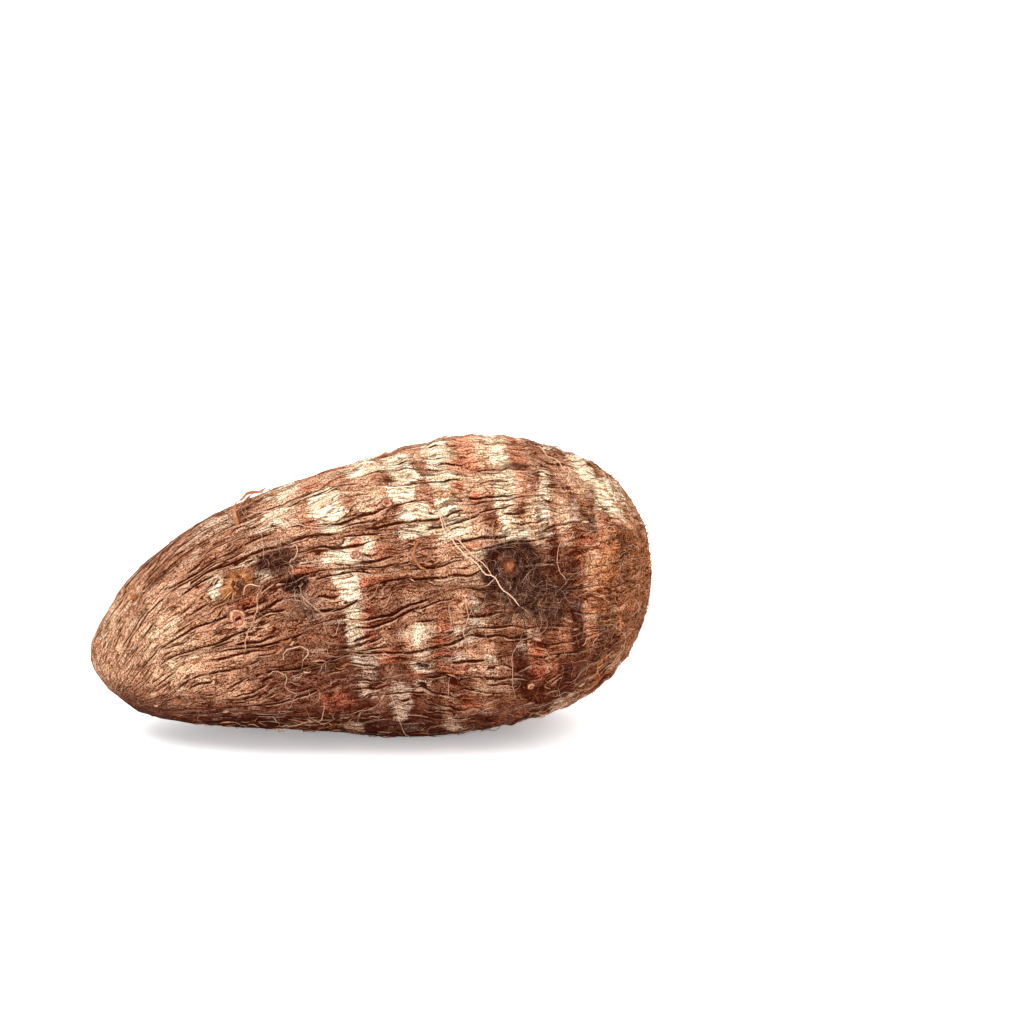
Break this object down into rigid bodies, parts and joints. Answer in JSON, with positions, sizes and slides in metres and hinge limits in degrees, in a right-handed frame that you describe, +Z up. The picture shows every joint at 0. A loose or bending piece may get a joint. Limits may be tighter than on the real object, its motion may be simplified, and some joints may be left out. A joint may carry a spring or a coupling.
{
  "type": "taro root",
  "caption": "Whole taro corm lying on its side, tapering to a tail and ending in a blunt crown, with ringed and furrowed bark.",
  "frame": {"origin": "on the ground, under the middle of the corm's box", "axes": "+X along the corm from its tail to its crown, +Y away from the side that shows its large bud, +Z up"},
  "size_m": [0.1808, 0.095, 0.0952],
  "materials": {
    "bark": "matt, fibrous and cracked"
  },
  "bodies": {
    "root": {"corm": "bark"}
  },
  "joints": []
}
